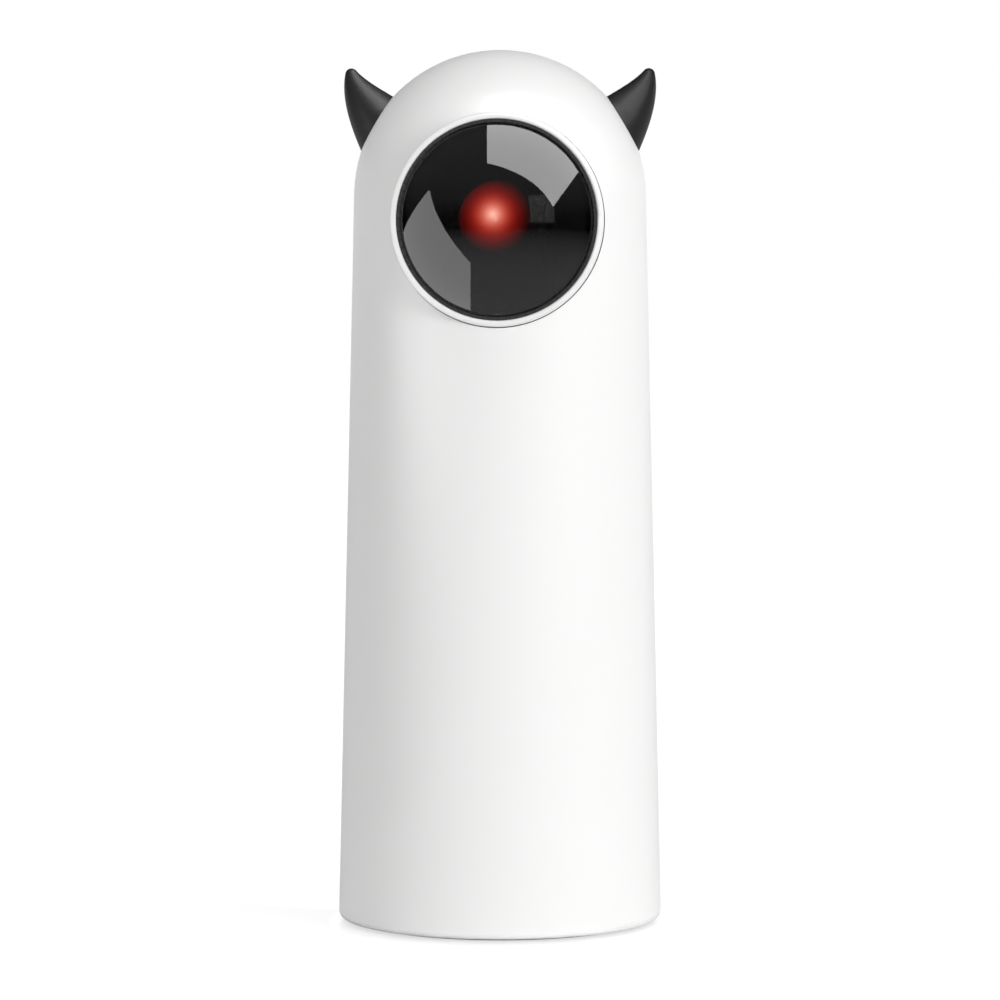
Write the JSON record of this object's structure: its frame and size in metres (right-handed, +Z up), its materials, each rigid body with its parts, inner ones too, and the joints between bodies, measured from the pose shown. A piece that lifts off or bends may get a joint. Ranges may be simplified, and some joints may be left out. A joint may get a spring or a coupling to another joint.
{
  "type": "automatic cat laser toy",
  "caption": "Upright battery tower with a domed front window, two soft ear-like horns and a geared pan and tilt light head.",
  "frame": {"origin": "on the floor under the middle of the round tower", "axes": "+Z up, -Y to the front where the window looks, +X to the right seen from the front"},
  "size_m": [0.0844, 0.0917, 0.227],
  "materials": {
    "housing_white": "satin moulded",
    "ring_white": "satin moulded",
    "smoked_lens": "polished, smoked, see-through",
    "shroud_black": "matt moulded",
    "horn_rubber": "soft matt",
    "plate_white": "fine grain moulded",
    "foot_rubber": "matt",
    "contact_metal": "nickel plated",
    "cell_wrap": "printed wrap without lettering",
    "screw_steel": "zinc plated",
    "frame_grey": "moulded",
    "board_green": "coated board",
    "parts_black": "moulded",
    "port_metal": "stamped",
    "button_white": "satin moulded",
    "gear_cream": "moulded",
    "pinion_brass": "cut",
    "motor_steel": "drawn can",
    "fork_grey": "moulded",
    "head_black": "moulded",
    "beam_lens": "polished"
  },
  "bodies": {
    "housing": {"outer_housing": "housing_white", "eye_bezel": "ring_white", "lens_cover": "smoked_lens", "light_shroud": "shroud_black", "right_horn": "horn_rubber", "left_horn": "horn_rubber", "base_plate": "plate_white", "foot_ring": "foot_rubber", "battery_springs": "contact_metal", "battery_cell_1": "cell_wrap", "battery_cell_2": "cell_wrap", "battery_cell_3": "cell_wrap", "base_screws": "screw_steel", "frame_screws": "screw_steel", "inner_frame": "frame_grey", "main_board": "board_green", "board_parts": "parts_black", "usb_socket": "port_metal", "switch_body": "parts_black", "pan_motor": "motor_steel", "pan_motor_screws": "screw_steel", "thrust_washer": "gear_cream"},
    "pan_carriage": {"pan_yoke": "fork_grey", "pan_gear": "gear_cream", "pivot_screw": "screw_steel", "pivot_washer": "screw_steel", "tilt_motor": "motor_steel", "tilt_motor_screws": "screw_steel"},
    "pan_drive": {"pan_pinion": "pinion_brass", "pan_shaft": "screw_steel"},
    "light_unit": {"light_head": "head_black", "collimator_lens": "beam_lens", "emitter_board": "board_green", "head_cap": "head_black"},
    "tilt_drive": {"tilt_pinion": "pinion_brass", "tilt_shaft": "screw_steel"},
    "battery_lid": {"battery_door": "plate_white", "battery_contacts": "contact_metal"},
    "button": {"power_button": "button_white", "switch_stem": "parts_black"}
  },
  "joints": [
    {"name": "pan", "type": "hinge", "parent": "housing", "child": "pan_carriage", "pos_m": [0, -0.006, 0.1607], "axis": [0, 0, 1], "range_deg": [-35, 35]},
    {"name": "pan_drive_spin", "type": "hinge", "parent": "housing", "child": "pan_drive", "pos_m": [0, 0.0084, 0.1607], "axis": [0, 0, 1], "range_deg": [-106, 106]},
    {"name": "tilt", "type": "hinge", "parent": "pan_carriage", "child": "light_unit", "pos_m": [0, -0.006, 0.1826], "axis": [1, 0, 0], "range_deg": [-12, 22]},
    {"name": "tilt_drive_spin", "type": "hinge", "parent": "pan_carriage", "child": "tilt_drive", "pos_m": [0.0106, 0.00418, 0.17242], "axis": [1, 0, 0], "range_deg": [-67, 37]},
    {"name": "battery_lid_hinge", "type": "hinge", "parent": "housing", "child": "battery_lid", "pos_m": [-0.0279, 0.005, 0.0023], "axis": [0, 1, 0], "range_deg": [0, 95]},
    {"name": "button_press", "type": "slide", "parent": "housing", "child": "button", "axis": [0, -1, 0], "range_m": [0, 0.0008], "stiffness_N_per_m": 1500}
  ],
  "couplings": [
    {"joint": "pan_drive_spin", "follows": "pan", "ratio": -3},
    {"joint": "tilt_drive_spin", "follows": "tilt", "ratio": -3}
  ]
}
